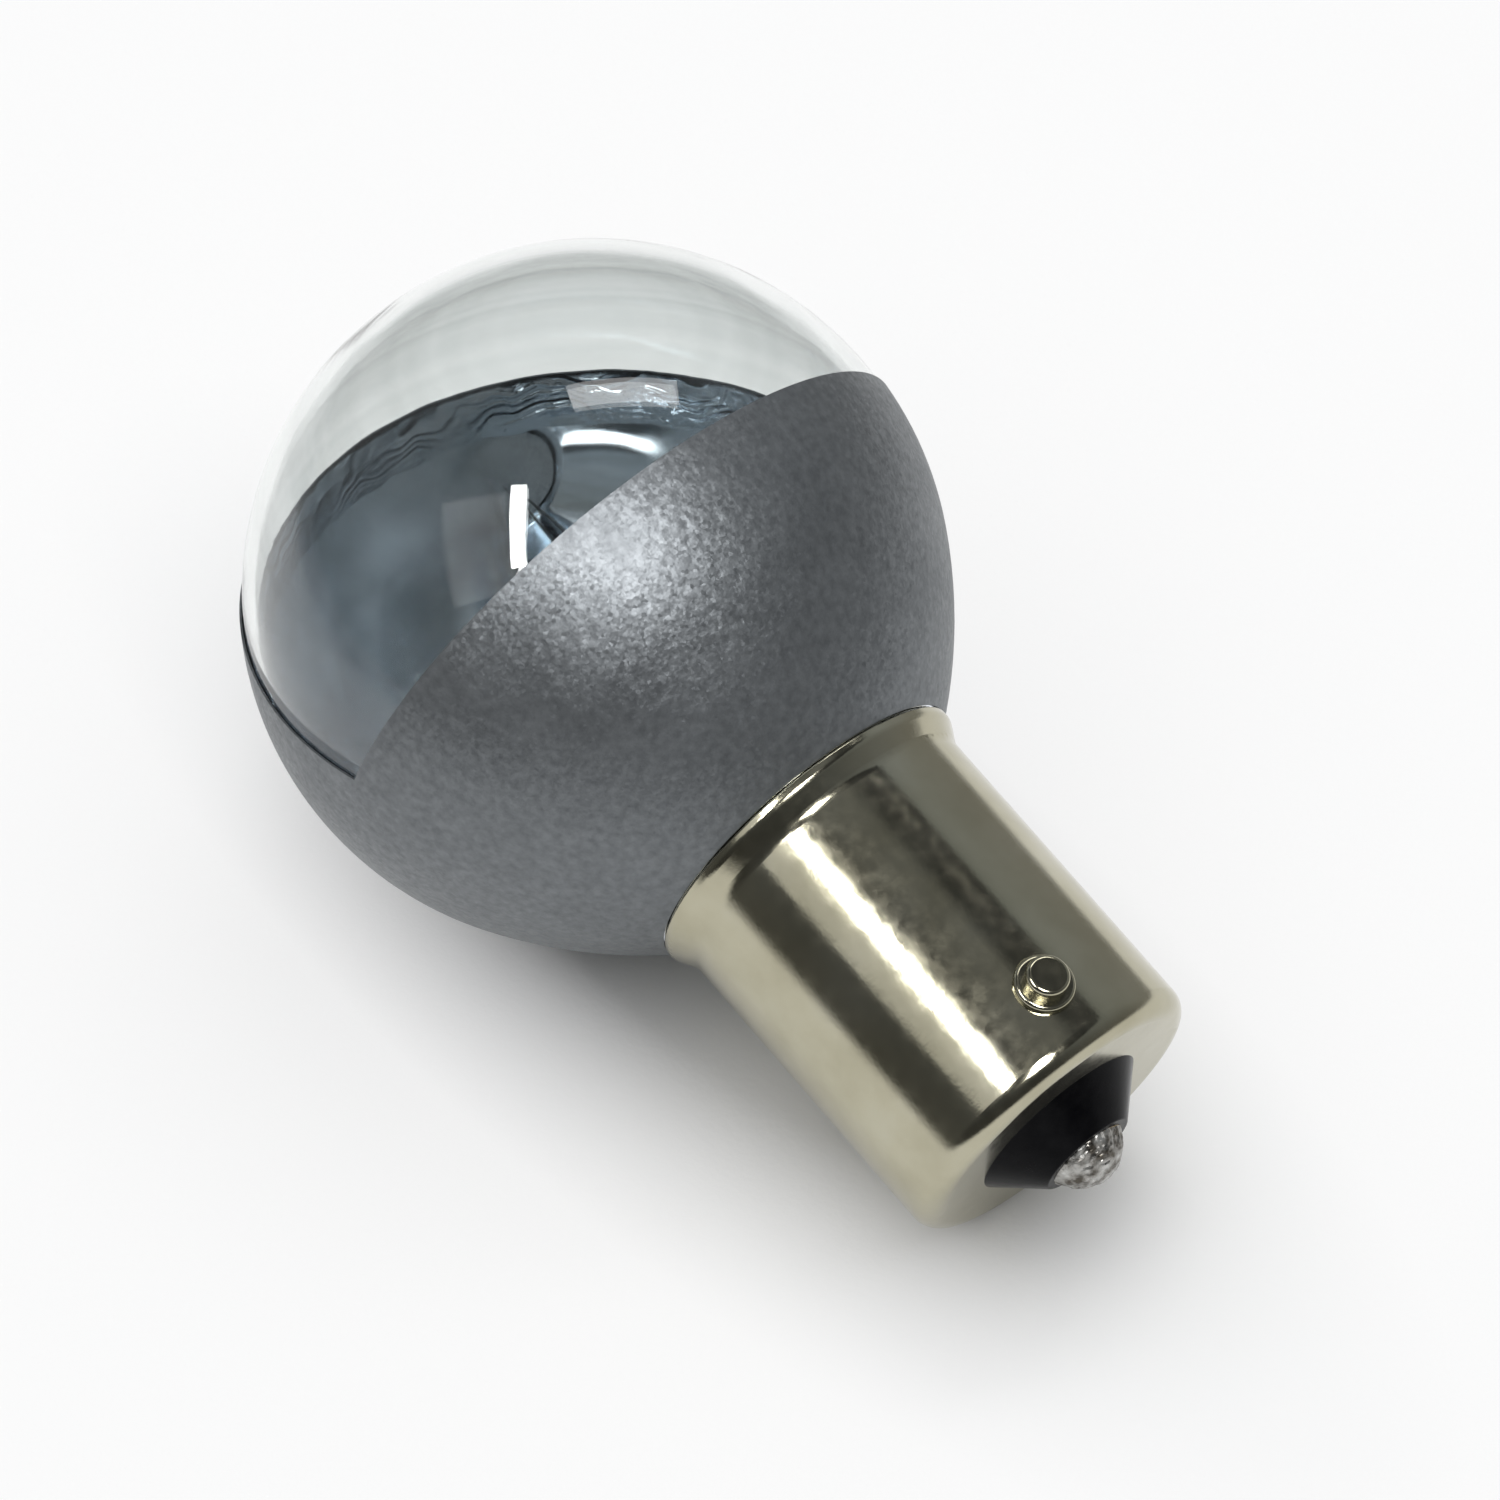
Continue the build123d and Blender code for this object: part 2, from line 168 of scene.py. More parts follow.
# Lamps: both ends as an azimuth from +X and an elevation, the width as an angle, and the brightness
LAMP_DISTANCE = 0.8
NEAR_STRIP = ((-118, 67), (-79, 50), 5.0, 30.0)
NEAR_FOOT = ((-79, 50), (-73, 50.5), 4.5, 22.0)
NEAR_GLOW = ((-124, 53), (-86, 36), 22.0, 0.7)
FAR_STRIP = ((100, 53), (154, 66), 9.0, 4.0)
KEY_STRIP = ((-37, 58), (-7, 58), 20.0, 26.0)
FILL_STRIP = ((-100, 40), (80, 44), 80.0, 1.3)

# Bounces of light, enough for glass over a mirror
MAX_BOUNCES = 32
GLOSSY_BOUNCES = 16

# Places on the lamp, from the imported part
glass_low, glass_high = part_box("glass_bulb")
globe_radius = (glass_high.y - glass_low.y) / 2
globe_centre = Vector((glass_low.x + globe_radius, 0, (glass_low.z + glass_high.z) / 2))
mounts = {mount["name"]: mount for mount in frame["record"]["mounts"]}
along = Vector(mounts["bayonet_cap"]["axis"]).normalized()
across = Vector((0, 1, 0))
upward = along.cross(across).normalized()
lamp_place = Matrix.Translation(globe_centre) @ Matrix((along, across, upward)).transposed().to_4x4()

# Direction out of the window's sloping edge, in the lamp's own axes
window_slope = math.radians(WINDOW_SLOPE)
window_roll = Matrix.Rotation(math.radians(-WINDOW_ROLL), 3, "X")
window_up = window_roll @ Vector((-math.sin(window_slope), 0, math.cos(window_slope)))

# Shoulder arc, and the fillet between it and the neck
shoulder_start = math.radians(SHOULDER_START)
shoulder_offset = SHOULDER_RADIUS - globe_radius
shoulder_centre = (-shoulder_offset * math.cos(shoulder_start), -shoulder_offset * math.sin(shoulder_start))
fillet_reach = SHOULDER_RADIUS + NECK_FILLET
fillet_angle = math.asin((NECK_RADIUS + NECK_FILLET - shoulder_centre[1]) / fillet_reach)
fillet_end = shoulder_centre[0] + fillet_reach * math.cos(fillet_angle)
cap_station = shoulder_centre[0] + SHOULDER_RADIUS * math.cos(fillet_angle)
neck_end = cap_station + NECK_IN_CAP


def arc(centre, radius, start, end):
    """Points of a circular arc between two angles in degrees, without its last point."""
    count = max(2, round(abs(end - start) / ARC_STEP))
    angles = [math.radians(start + (end - start) * i / count) for i in range(count)]
    return [(centre[0] + radius * math.cos(a), centre[1] + radius * math.sin(a)) for a in angles]


def straight(start, end, count):
    """Evenly spaced points of a straight run, without its last point."""
    run = end[0] - start[0]
    rise = end[1] - start[1]
    return [(start[0] + run * i / count, start[1] + rise * i / count) for i in range(count)]


def globe_profile(skin):
    """Stations and radii of the globe and its shoulder, from the pole to the lip, moved outwards by skin."""
    globe = arc((0, 0), globe_radius + skin, 180, SHOULDER_START)
    return globe + arc(shoulder_centre, SHOULDER_RADIUS + skin, SHOULDER_START, math.degrees(fillet_angle))


def bulb_profile(skin):
    """Stations and radii of the globe, shoulder, fillet and neck, moved outwards by skin."""
    fillet_centre = (fillet_end, NECK_RADIUS + NECK_FILLET)
    fillet = arc(fillet_centre, NECK_FILLET - skin, 180 + math.degrees(fillet_angle), 270)
    neck = NECK_RADIUS + skin
    neck_run = straight((fillet_end, neck), (neck_end, neck), NECK_STEPS)
    return globe_profile(skin) + fillet + neck_run + [(neck_end, neck)]


def lip_edge_radius(skin, station):
    """Radius of the shoulder at a station, moved outwards by skin."""
    reach = SHOULDER_RADIUS + skin
    return shoulder_centre[1] + math.sqrt(reach**2 - (station - shoulder_centre[0]) ** 2)


def ring_points(station, radius):
    """Points of a ring about the lamp axis, or the one point where it closes on the axis."""
    count = 1 if radius < ON_AXIS else TURN_SEGMENTS
    turns = [2 * math.pi * i / TURN_SEGMENTS for i in range(count)]
    return [Vector((station, radius * math.cos(turn), radius * math.sin(turn))) for turn in turns]


def join_rings(bm, rings):
    """Faces between rings of points that follow each other; a ring of one point is a pole."""
    for first, second in zip(rings, rings[1:]):
        for i in range(TURN_SEGMENTS):
            j = (i + 1) % TURN_SEGMENTS
            before = (first[i % len(first)], first[j % len(first)])
            after = (second[j % len(second)], second[i % len(second)])
            bm.faces.new(list(dict.fromkeys(before + after)))


def turned(profile):
    """Mesh turned about the lamp axis from stations and radii."""
    bm = bmesh.new()
    rings = [[bm.verts.new(point) for point in ring_points(station, radius)] for station, radius in profile]
    join_rings(bm, rings)
    return bm


def finished(bm, name, material):
    """Object in the lamp's place, smooth but for its sharp edges, riding on the lamp."""
    bmesh.ops.recalc_face_normals(bm, faces=bm.faces[:])
    mesh = bpy.data.meshes.new(name)
    bm.to_mesh(mesh)
    bm.free()
    mesh.transform(lamp_place)
    mesh.shade_smooth()
    mesh.set_sharp_from_angle(angle=math.radians(SHARP_ANGLE))
    mesh.materials.append(material)
    piece = bpy.data.objects.new(name, mesh)
    bpy.context.scene.collection.objects.link(piece)
    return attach(piece, "root")


def glass_shell(material):
    """The bulb's wall as one closed mesh: outside, neck end and inside."""
    inside = bulb_profile(-GLASS_WALL)
    inside.reverse()
    piece = finished(turned(bulb_profile(0) + inside), "clear_globe", material)
    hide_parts("glass_bulb")


def disc_sheet(material):
    """Disc across the neck's mouth, carried out to the glass that the part's disc keeps clear of."""
    node = frame["nodes"]["deflector_disc"]
    places = [lamp_place.inverted() @ (node.matrix_world @ vertex.co) for vertex in node.data.vertices]
    front = min(place.x for place in places)
    back = max(place.x for place in places)
    edge = max(math.hypot(place.y, place.z) for place in places) + DISC_REACH
    front_side = [(front, 0), (front, edge - DISC_RIM), (front + DISC_RIM, edge)]
    back_side = [(back - DISC_RIM, edge), (back, edge - DISC_RIM), (back, 0)]
    piece = finished(turned(front_side + back_side), "disc_sheet", material)
    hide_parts("deflector_disc")


def solder_lump(material):
    """Solder of the end contact: the part's dome, sunk in places where it cooled in lumps."""
    tip = (Vector(mounts["end_contact"]["pos_m"]) - globe_centre).dot(along)
    foot = tip - SOLDER_HEIGHT
    sphere = (SOLDER_RADIUS**2 + SOLDER_HEIGHT**2) / (2 * SOLDER_HEIGHT)
    dome_angle = math.asin(SOLDER_RADIUS / sphere)
    middle = Vector((foot, 0, 0))
    bm = bmesh.new()
    rings = [[bm.verts.new(middle)]]
    for row in range(SOLDER_ROWS + 1):
        polar = dome_angle * (1 - row / SOLDER_ROWS)
        ring = []
        for point in ring_points(tip - sphere + sphere * math.cos(polar), sphere * math.sin(polar)):
            lump = LUMP_DEPTH * (0.5 + 0.5 * lumps.noise(point / LUMP_SIZE))
            pit = PIT_DEPTH * abs(lumps.noise(point / PIT_SIZE))
            sunk = point + (middle - point).normalized() * (lump + pit)
            ring.append(bm.verts.new((max(sunk.x, foot), sunk.y, sunk.z)))
        rings.append(ring)
    join_rings(bm, rings)
    piece = finished(bm, "contact_lump", material)
    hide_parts("contact_solder")


def coat(profile, thickness, name, material):
    """Skin under a profile of its outside, open at the window."""
    bm = turned(profile)
    everything = bm.verts[:] + bm.edges[:] + bm.faces[:]
    bmesh.ops.bisect_plane(bm, geom=everything, plane_co=(WINDOW_STATION, 0, 0), plane_no=(1, 0, 0))
    ahead = [face for face in bm.faces if face.calc_center_median().x < WINDOW_STATION]
    parts = list({part for face in ahead for part in [*face.verts, *face.edges, face]})
    bmesh.ops.bisect_plane(bm, geom=parts, plane_co=(0, 0, 0), plane_no=window_up)
    middles = [(face, face.calc_center_median()) for face in bm.faces]
    window = [face for face, middle in middles if middle.x < WINDOW_STATION and middle.dot(window_up) > 0]
    bmesh.ops.delete(bm, geom=window, context="FACES")
    bmesh.ops.recalc_face_normals(bm, faces=bm.faces[:])
    bmesh.ops.solidify(bm, geom=bm.faces[:], thickness=thickness)
    return finished(bm, name, material)


def mirror_skin(material):
    """Silvering on the outside of the globe, shoulder and neck, sunk a little into the glass."""
    profile = bulb_profile(MIRROR_THICKNESS)
    film = coat(profile, MIRROR_THICKNESS + MIRROR_SINK, "mirror_skin", material)
    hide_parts("mirror_film")


def paint_skin(material):
    """Paint over the silvering, from the pole to just before the cap's lip."""
    outside = MIRROR_THICKNESS + PAINT_THICKNESS
    end = cap_station - SKIN_TO_LIP
    painted = [point for point in globe_profile(outside) if point[0] < end]
    painted.append((end, lip_edge_radius(outside, end)))
    paint = coat(painted, PAINT_THICKNESS, "paint_skin", material)
    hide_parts("paint_coat")


def new_material(name):
    """Material with a Principled shader, with its node tree."""
    material = bpy.data.materials.new(name)
    material.use_nodes = True
    return material, material.node_tree, material.node_tree.nodes["Principled BSDF"]


def add_node(tree, kind, **values):
    """New node with its settings and the values of its inputs."""
    node = tree.nodes.new(kind)
    for key, value in values.items():
        if key in node.inputs:
            node.inputs[key].default_value = value
        else:
            setattr(node, key, value)
    return node


def combine(tree, operation, first, second):
    """Two values brought together by one operation."""
    node = add_node(tree, "ShaderNodeMath", operation=operation)
    tree.links.new(first, node.inputs[0])
    tree.links.new(second, node.inputs[1])
    return node.outputs[0]


def length(tree, vector):
    """Length of a vector."""
    node = add_node(tree, "ShaderNodeVectorMath", operation="LENGTH")
    tree.links.new(vector, node.inputs[0])
    return node.outputs["Value"]


def along_axis(tree, where, axis):
    """Distance of a position along a direction."""
    node = add_node(tree, "ShaderNodeVectorMath", operation="DOT_PRODUCT")
    tree.links.new(where, node.inputs[0])
    node.inputs[1].default_value = axis
    return node.outputs["Value"]


def lamp_position(tree):
    """Position in the lamp's own axes."""
    where = add_node(tree, "ShaderNodeTexCoord")
    turn = add_node(tree, "ShaderNodeMapping", vector_type="TEXTURE")
    turn.inputs["Location"].default_value = globe_centre
    turn.inputs["Rotation"].default_value = lamp_place.to_euler()
    tree.links.new(where.outputs["Object"], turn.inputs["Vector"])
    return turn.outputs["Vector"]


def noise(tree, where, size, detail=2.0):
    """Noise whose grain is about a given length."""
    texture = add_node(tree, "ShaderNodeTexNoise", Scale=1 / size, Detail=detail)
    tree.links.new(where, texture.inputs["Vector"])
    return texture.outputs["Fac"]


def line_noise(tree, run, size, detail=3.0):
    """Noise of one value, in lines of about a given width."""
    texture = add_node(tree, "ShaderNodeTexNoise", noise_dimensions="1D", Scale=1 / size, Detail=detail)
    tree.links.new(run, texture.inputs["W"])
    return texture.outputs["Fac"]


def lathe_lines(tree, where, size):
    """Noise that runs round the lamp axis in rings of about a given width."""
    parts = add_node(tree, "ShaderNodeSeparateXYZ")
    tree.links.new(where, parts.inputs["Vector"])
    radial = add_node(tree, "ShaderNodeCombineXYZ")
    tree.links.new(parts.outputs["Y"], radial.inputs["Y"])
    tree.links.new(parts.outputs["Z"], radial.inputs["Z"])
    run = combine(tree, "ADD", parts.outputs["X"], length(tree, radial.outputs["Vector"]))
    return line_noise(tree, run, size)


def ramp(tree, value, stops):
    """Colours between stops of a value, each stop a position and a colour."""
    node = add_node(tree, "ShaderNodeValToRGB")
    elements = node.color_ramp.elements
    while len(elements) < len(stops):
        elements.new(1.0)
    for element, (position, colour) in zip(elements, stops):
        element.position = position
        element.color = (*colour, 1)
    tree.links.new(value, node.inputs["Fac"])
    return node.outputs["Color"]


def spread(tree, value, low, high, start=NOISE_LOW, end=NOISE_HIGH):
    """Value carried from one range, or from that of a noise, to another."""
    node = add_node(tree, "ShaderNodeMapRange")
    node.inputs["From Min"].default_value = start
    node.inputs["From Max"].default_value = end
    node.inputs["To Min"].default_value = low
    node.inputs["To Max"].default_value = high
    tree.links.new(value, node.inputs["Value"])
    return node.outputs["Result"]


def bump(tree, height, depth, before=None):
    """Normal of a surface raised by a height times a depth, over an earlier normal."""
    node = add_node(tree, "ShaderNodeBump", Distance=depth)
    tree.links.new(height, node.inputs["Height"])
    if before:
        tree.links.new(before, node.inputs["Normal"])
    return node.outputs["Normal"]


def from_window(tree, where):
    """Distance from the edge of the window, made a little ragged."""
    parts = add_node(tree, "ShaderNodeSeparateXYZ")
    tree.links.new(where, parts.inputs["Vector"])
    behind = add_node(tree, "ShaderNodeMath", operation="SUBTRACT")
    tree.links.new(parts.outputs["X"], behind.inputs[0])
    behind.inputs[1].default_value = WINDOW_STATION
    away = combine(tree, "MAXIMUM", behind.outputs[0], along_axis(tree, where, -window_up))
    ragged = spread(tree, noise(tree, where, size=0.0015, detail=4), low=-EDGE_RAGGED, high=EDGE_RAGGED)
    return combine(tree, "ADD", away, ragged)


def puckers(tree, where, edge):
    """Wavering lines along the edge of the window that die away from it."""
    waver = spread(tree, noise(tree, where, size=0.005), low=-PUCKER_WAVER, high=PUCKER_WAVER)
    run = combine(tree, "ADD", along_axis(tree, where, window_up), waver)
    lines = line_noise(tree, run, PUCKER_SIZE, detail=1.0)
    fade = spread(tree, edge, low=1, high=0, start=PUCKER_START, end=PUCKER_REACH)
    return combine(tree, "MULTIPLY", lines, fade)


def glass_material():
    """Blown glass with a grey-green cast, faint streaks and a faint wave."""
    material, tree, shader = new_material("clear_glass")
    where = lamp_position(tree)
    streaks = line_noise(tree, along_axis(tree, where, window_up), STREAK_SIZE)
    tree.links.new(ramp(tree, streaks, GLASS_CAST), shader.inputs["Base Color"])
    haze = spread(tree, noise(tree, where, size=0.002, detail=4), low=0.0, high=0.015)
    tree.links.new(haze, shader.inputs["Roughness"])
    shader.inputs["IOR"].default_value = GLASS_IOR
    shader.inputs["Transmission Weight"].default_value = 1.0
    waves = bump(tree, noise(tree, where, size=0.009), depth=0.00004)
    tree.links.new(bump(tree, streaks, depth=0.000003, before=waves), shader.inputs["Normal"])
    return material


def mirror_material():
    """Silvering, faintly clouded, with a thin dark edge and puckers along the window."""
    material, tree, shader = new_material("mirror")
    where = lamp_position(tree)
    edge = from_window(tree, where)
    thin = add_node(tree, "ShaderNodeMix", data_type="RGBA")
    inner = spread(tree, edge, low=0, high=1, start=EDGE_DARK, end=EDGE_CLEAR)
    tree.links.new(inner, thin.inputs["Factor"])
    thin.inputs["A"].default_value = EDGE_COLOUR
    tree.links.new(ramp(tree, noise(tree, where, size=0.004, detail=5), SILVER), thin.inputs["B"])
    tree.links.new(thin.outputs["Result"], shader.inputs["Base Color"])
    shader.inputs["Metallic"].default_value = 1.0
    aside = along_axis(tree, where, CLOUDED_SIDE)
    clouded = spread(tree, aside, SILVER_ROUGH, CLOUDED_ROUGH, start=CLOUD_START, end=CLOUD_END)
    mottle = spread(tree, noise(tree, where, size=0.003, detail=4), low=-0.008, high=0.016)
    tree.links.new(combine(tree, "ADD", clouded, mottle), shader.inputs["Roughness"])
    waves = bump(tree, noise(tree, where, size=0.007), depth=0.00003)
    puckered = bump(tree, puckers(tree, where, edge), PUCKER_DEPTH, before=waves)
    tree.links.new(puckered, shader.inputs["Normal"])
    return material


def paint_material():
    """Grey paint full of fine metal flakes that lie at slightly different angles."""
    material, tree, shader = new_material("grey_paint")
    where = lamp_position(tree)
    flakes = add_node(tree, "ShaderNodeTexVoronoi", Scale=1 / FLAKE_SIZE)
    tree.links.new(where, flakes.inputs["Vector"])
    lean = add_node(tree, "ShaderNodeVectorMath", operation="MULTIPLY_ADD")
    tree.links.new(flakes.outputs["Color"], lean.inputs[0])
    lean.inputs[1].default_value = (FLAKE_LEAN, FLAKE_LEAN, FLAKE_LEAN)
    lean.inputs[2].default_value = (-FLAKE_LEAN / 2, -FLAKE_LEAN / 2, -FLAKE_LEAN / 2)
    skin = bump(tree, noise(tree, where, size=0.0005), depth=0.000035)
    tilted = add_node(tree, "ShaderNodeVectorMath", operation="ADD")
    tree.links.new(skin, tilted.inputs[0])
    tree.links.new(lean.outputs[0], tilted.inputs[1])
    unit = add_node(tree, "ShaderNodeVectorMath", operation="NORMALIZE")
    tree.links.new(tilted.outputs[0], unit.inputs[0])
    tree.links.new(unit.outputs[0], shader.inputs["Normal"])
    grain = noise(tree, where, size=0.00045, detail=3)
    tree.links.new(ramp(tree, grain, PAINT), shader.inputs["Base Color"])
    shader.inputs["Metallic"].default_value = FLAKE_METAL
    matt = spread(tree, noise(tree, where, size=0.003, detail=4), low=0.43, high=0.49)
    tree.links.new(matt, shader.inputs["Roughness"])
    return material


def nickel_material():
    """Drawn and plated shell: faint rings, shallow waves, fine grain and warm tarnish."""
    material, tree, shader = new_material("nickel")
    where = lamp_position(tree)
    tarnish = noise(tree, where, size=0.0035, detail=6)
    tree.links.new(ramp(tree, tarnish, NICKEL), shader.inputs["Base Color"])
    shader.inputs["Metallic"].default_value = 1.0
    wear = spread(tree, noise(tree, where, size=0.0007, detail=6), low=0.11, high=0.17)
    tree.links.new(wear, shader.inputs["Roughness"])
    waves = bump(tree, noise(tree, where, size=0.004), depth=0.0000015)
    grain = bump(tree, noise(tree, where, size=0.00018, detail=3), depth=0.0000025, before=waves)
    rings = lathe_lines(tree, where, size=0.00012)
    tree.links.new(bump(tree, rings, depth=0.0000008, before=grain), shader.inputs["Normal"])
    return material


def black_glass_material():
    """Pressed black glass with a slightly rough skin."""
    material, tree, shader = new_material("black_glass")
    where = lamp_position(tree)
    clouds = noise(tree, where, size=0.0008, detail=4)
    tree.links.new(ramp(tree, clouds, BLACK_GLASS), shader.inputs["Base Color"])
    shader.inputs["Specular IOR Level"].default_value = BLACK_GLASS_SHINE
    skin = spread(tree, noise(tree, where, size=0.0005, detail=4), low=0.1, high=0.22)
    tree.links.new(skin, shader.inputs["Roughness"])
    ripples = bump(tree, noise(tree, where, size=0.0009, detail=3), depth=0.00001)
    tree.links.new(ripples, shader.inputs["Normal"])
    return material


def solder_material():
    """Tin solder that cooled dull and pitted."""
    material, tree, shader = new_material("solder")
    where = lamp_position(tree)
    stain = noise(tree, where, size=0.0006, detail=6)
    tree.links.new(ramp(tree, stain, SOLDER), shader.inputs["Base Color"])
    shader.inputs["Metallic"].default_value = 1.0
    dull = spread(tree, noise(tree, where, size=0.0004, detail=5), low=0.22, high=0.5)
    tree.links.new(dull, shader.inputs["Roughness"])
    pits = bump(tree, noise(tree, where, size=0.00025, detail=4), depth=0.00005)
    tree.links.new(pits, shader.inputs["Normal"])
    return material


def wire_material(name, dark, bright, roughness):
    """Drawn wire or plain sheet metal with a slight stain."""
    material, tree, shader = new_material(name)
    where = lamp_position(tree)
    stops = ((NOISE_LOW, dark), (NOISE_HIGH, bright))
    tree.links.new(ramp(tree, noise(tree, where, size=0.0005, detail=4), stops), shader.inputs["Base Color"])
    shader.inputs["Metallic"].default_value = 1.0
    blotches = noise(tree, where, size=0.0003, detail=3)
    tree.links.new(spread(tree, blotches, roughness, roughness + STAIN_ROUGH), shader.inputs["Roughness"])
    grain = bump(tree, noise(tree, where, size=0.0001), depth=0.000004)
    tree.links.new(grain, shader.inputs["Normal"])
    return material


def cement_material():
    """Baked resin cement with mineral grains."""
    material, tree, shader = new_material("cement")
    where = lamp_position(tree)
    mineral = noise(tree, where, size=0.0004, detail=6)
    tree.links.new(ramp(tree, mineral, CEMENT), shader.inputs["Base Color"])
    dry = spread(tree, noise(tree, where, size=0.0008, detail=3), low=0.8, high=0.95)
    tree.links.new(dry, shader.inputs["Roughness"])
    grains = bump(tree, noise(tree, where, size=0.0002, detail=4), depth=0.00006)
    tree.links.new(grains, shader.inputs["Normal"])
    return material


def add_camera():
    """Camera at the photograph's place, with the globe's centre at the measured place in its view."""
    right = CAMERA_FORWARD.cross(Vector((0, 0, 1))).normalized()
    down = CAMERA_FORWARD.cross(right)
    data = bpy.data.cameras.new("camera")
    data.sensor_width = SENSOR_WIDTH
    data.lens = FOCAL_PIXELS / IMAGE_SIDE * SENSOR_WIDTH
    data.clip_start = CLIP_START
    camera = bpy.data.objects.new("camera", data)
    axes = Matrix((right, -down, -CAMERA_FORWARD)).transposed().to_4x4()
    place = globe_centre - right * GLOBE_IN_VIEW.x - down * GLOBE_IN_VIEW.y - CAMERA_FORWARD * GLOBE_IN_VIEW.z
    camera.matrix_world = Matrix.Translation(place) @ axes
    bpy.context.scene.collection.objects.link(camera)
    bpy.context.scene.camera = camera


def paint_glow_on_floor(material, where, reach):
    """Painted glow mixed into the floor round the lamp, not under it, as the camera, metal and glass see it,
    so that the floor's shadow stays dark only close to the lamp.
    """
    tree = material.node_tree
    path = add_node(tree, "ShaderNodeLightPath")
    seen = path.outputs["Is Camera Ray"]
    for ray in ("Is Glossy Ray", "Is Transmission Ray"):
        seen = combine(tree, "MAXIMUM", seen, path.outputs[ray])
    squeezed = add_node(tree, "ShaderNodeMapping", vector_type="POINT")
    squeezed.inputs["Scale"].default_value = (PAINTED_GLOW_SQUEEZE, 1, 1)
    tree.links.new(where, squeezed.inputs["Vector"])
    beside = length(tree, squeezed.outputs["Vector"])
    # painted glow, left off close to the lamp so that only there the floor keeps its shadow
    near = spread(tree, beside, low=0, high=PAINTED_GLOW_SHARE, start=PAINTED_GLOW_START, end=PAINTED_GLOW_END)
    # the painted glow fades out where the painted pool of light turns grey
    far = spread(tree, reach, low=1, high=0, start=POOL_OF_LIGHT_REACH, end=POOL_OF_LIGHT_FADE)
    share = combine(tree, "MULTIPLY", seen, combine(tree, "MULTIPLY", near, far))
    white = add_node(tree, "ShaderNodeEmission", Color=(1, 1, 1, 1))
    mixed = add_node(tree, "ShaderNodeMixShader")
    tree.links.new(share, mixed.inputs["Fac"])
    tree.links.new(tree.nodes["Principled BSDF"].outputs["BSDF"], mixed.inputs[1])
    tree.links.new(white.outputs["Emission"], mixed.inputs[2])
    tree.links.new(mixed.outputs["Shader"], tree.nodes["Material Output"].inputs["Surface"])
    material.cycles.emission_sampling = "NONE"


def add_floor():
    """Disc under the lamp, with a painted pool of light: white where the lamp lies and greyer far from it."""
    bm = bmesh.new()
    bmesh.ops.create_circle(bm, cap_ends=True, segments=FLOOR_SEGMENTS, radius=FLOOR_RADIUS)
    mesh = bpy.data.meshes.new("floor")
    bm.to_mesh(mesh)
    bm.free()
    material, tree, shader = new_material("floor")
    where = add_node(tree, "ShaderNodeTexCoord").outputs["Object"]
    reach = length(tree, where)
    # painted pool of light: white near the lamp, fading to grey far from it
    colour = ramp(tree, reach, ((POOL_OF_LIGHT_REACH, POOL_OF_LIGHT_COLOUR), (POOL_OF_LIGHT_FADE, OUTSIDE_POOL_COLOUR)))
    tree.links.new(colour, shader.inputs["Base Color"])
    shader.inputs["Roughness"].default_value = 1.0
    shader.inputs["Specular IOR Level"].default_value = 0.0
    grain = bump(tree, noise(tree, where, size=0.0006, detail=4), depth=0.00002)
    tree.links.new(grain, shader.inputs["Normal"])
    paint_glow_on_floor(material, where, reach)
    mesh.materials.append(material)
    floor = bpy.data.objects.new("floor", mesh)
    bpy.context.scene.collection.objects.link(floor)


def direction(azimuth, elevation):
    """Unit vector from an azimuth about Z, counted from +X, and an elevation."""
    a = math.radians(azimuth)
    e = math.radians(elevation)
    return Vector((math.cos(a) * math.cos(e), math.sin(a) * math.cos(e), math.sin(e)))


def add_area(name, axes, width, height, radiance):
    """Rectangular lamp of a given brightness that faces the globe from the last of three axes."""
    data = bpy.data.lights.new(name, "AREA")
    data.shape = "RECTANGLE"
    data.size = width
    data.size_y = height
    data.energy = radiance * math.pi * width * height
    light = bpy.data.objects.new(name, data)
    turn = Matrix(axes).transposed().to_4x4()
    light.matrix_world = Matrix.Translation(globe_centre + axes[2] * LAMP_DISTANCE) @ turn
    bpy.context.scene.collection.objects.link(light)
    return light


def add_strip(name, first, second, width, radiance):
    """Lamp from one direction to another, with its width as an angle."""
    start = direction(*first)
    end = direction(*second)
    middle = (start + end).normalized()
    long_side = 2 * LAMP_DISTANCE * math.tan(start.angle(end) / 2)
    short_side = 2 * LAMP_DISTANCE * math.tan(math.radians(width / 2))
    run = (end - start).normalized()
    return add_area(name, (run.cross(middle), run, middle), short_side, long_side, radiance)


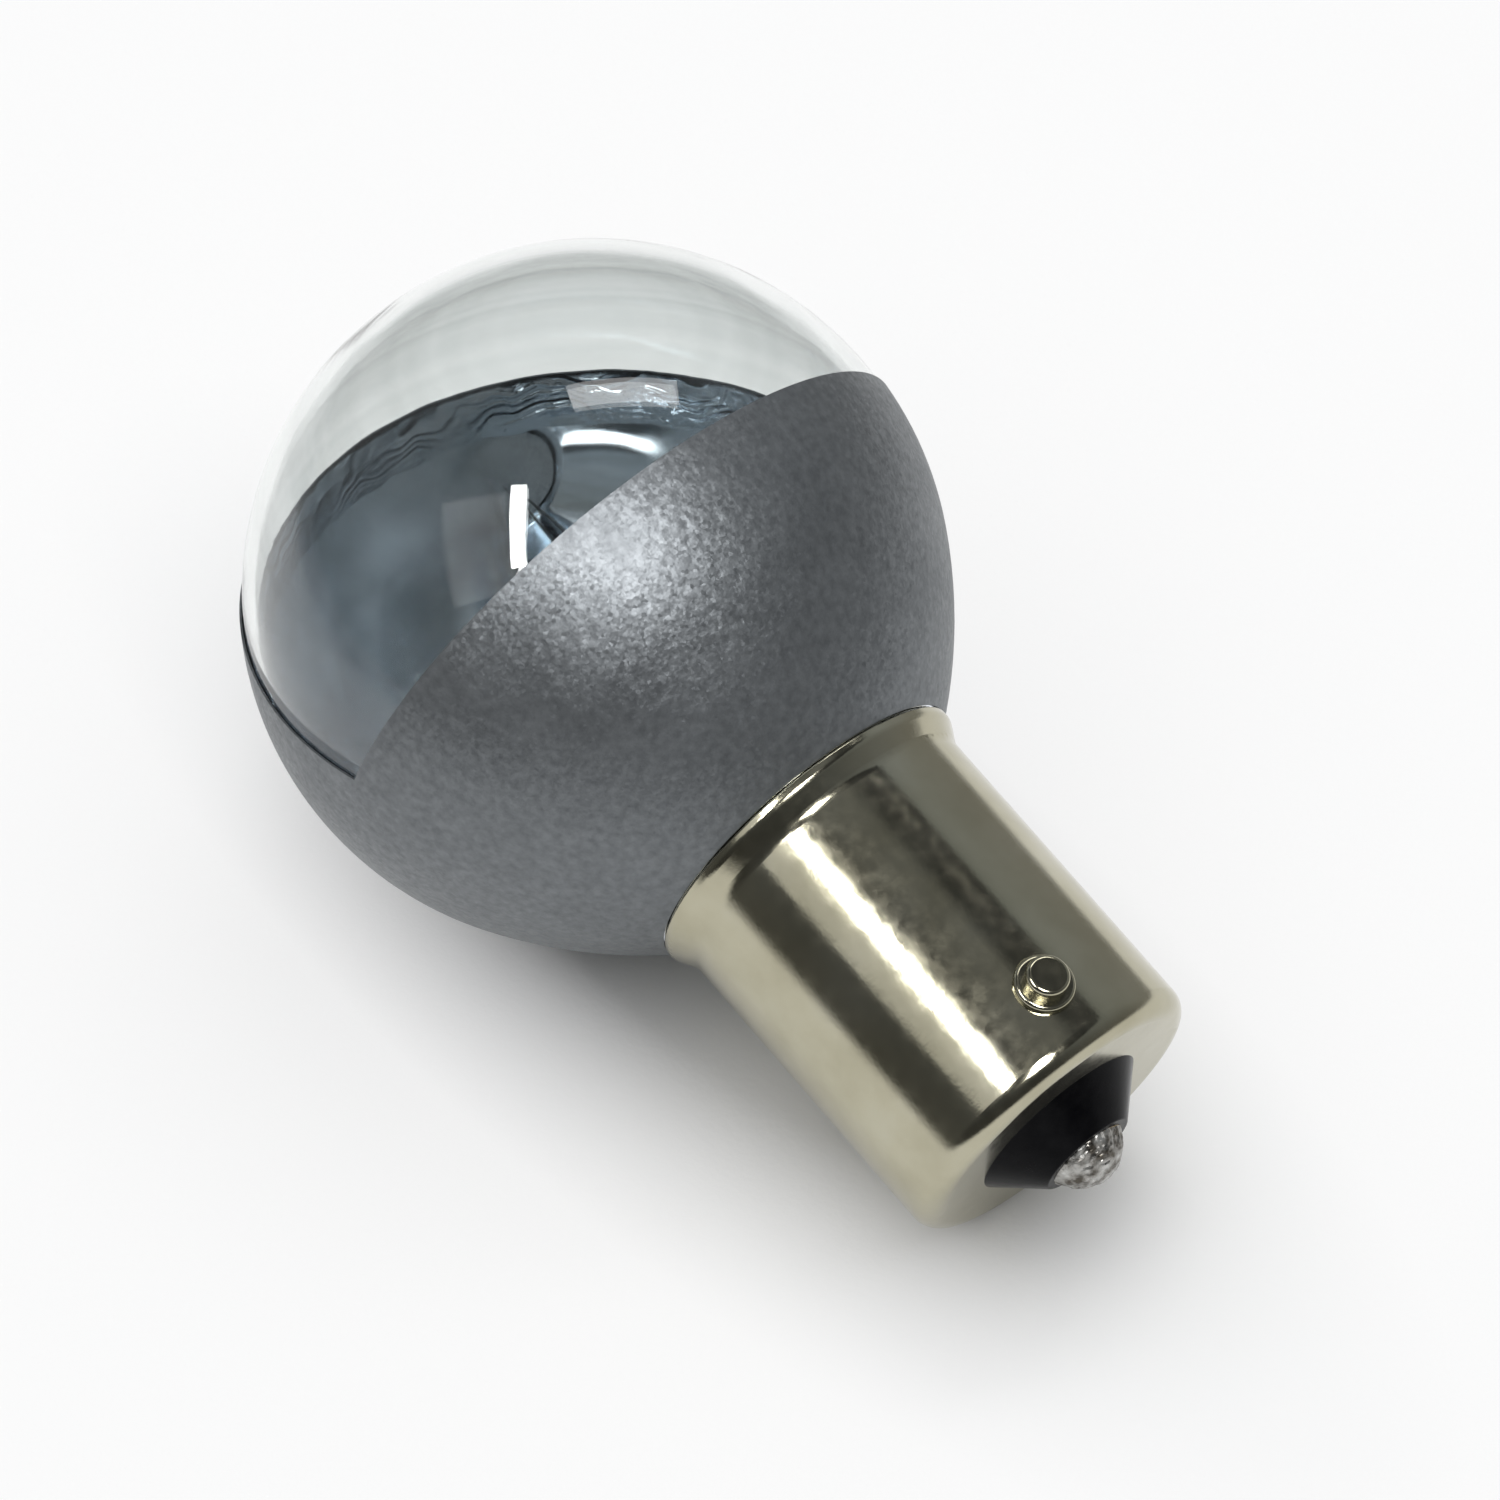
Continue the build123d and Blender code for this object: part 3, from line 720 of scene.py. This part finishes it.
def add_lamps():
    """Wide lamp overhead for the floor and other matt surfaces, and strips that metal and glass show."""
    fill = add_strip("fill", *FILL_STRIP)
    fill.visible_glossy = False
    fill.visible_transmission = False
    for name, strip in (("key", KEY_STRIP), ("near_strip", NEAR_STRIP), ("near_foot", NEAR_FOOT)):
        add_strip(name, *strip).visible_diffuse = False
    add_strip("near_glow", *NEAR_GLOW)
    add_strip("far_strip", *FAR_STRIP)


def add_world():
    """Dim room with a dark band overhead, darker on one side."""
    world = bpy.data.worlds.new("room")
    bpy.context.scene.world = world
    world.use_nodes = True
    tree = world.node_tree
    background = tree.nodes["Background"]
    where = add_node(tree, "ShaderNodeTexCoord").outputs["Generated"]
    parts = add_node(tree, "ShaderNodeSeparateXYZ")
    tree.links.new(where, parts.inputs["Vector"])
    tree.links.new(ramp(tree, parts.outputs["Z"], ROOM_TONES), background.inputs["Color"])
    side = along_axis(tree, where, ROOM_DARK_SIDE)
    strength = spread(tree, side, low=1.6, high=0.3, start=-0.6, end=0.75)
    tree.links.new(strength, background.inputs["Strength"])


materials = {
    "clear_glass": glass_material(),
    "mirror": mirror_material(),
    "grey_paint": paint_material(),
    "nickel": nickel_material(),
    "black_glass": black_glass_material(),
    "solder": solder_material(),
    "dull_sheet": wire_material("dull_sheet", (0.55, 0.57, 0.59), (0.65, 0.67, 0.69), roughness=0.12),
    "brass": wire_material("brass", (0.62, 0.45, 0.2), (0.74, 0.57, 0.28), roughness=0.25),
    "cement": cement_material(),
    "lead_wire": wire_material("lead_wire", (0.4, 0.38, 0.35), (0.55, 0.53, 0.5), roughness=0.3),
    "tungsten": wire_material("tungsten", (0.12, 0.12, 0.13), (0.22, 0.22, 0.23), roughness=0.45),
}
for subpart in frame["record"]["subparts"]:
    node = frame["nodes"][subpart["node"]]
    node.data.materials.clear()
    node.data.materials.append(materials[subpart["material_slot"]])

glass_shell(materials["clear_glass"])
disc_sheet(materials["dull_sheet"])
solder_lump(materials["solder"])
mirror_skin(materials["mirror"])
paint_skin(materials["grey_paint"])

add_camera()
add_floor()
add_world()
add_lamps()
bpy.context.scene.view_settings.view_transform = "Standard"
bpy.context.scene.cycles.max_bounces = MAX_BOUNCES
bpy.context.scene.cycles.transmission_bounces = MAX_BOUNCES
bpy.context.scene.cycles.glossy_bounces = GLOSSY_BOUNCES
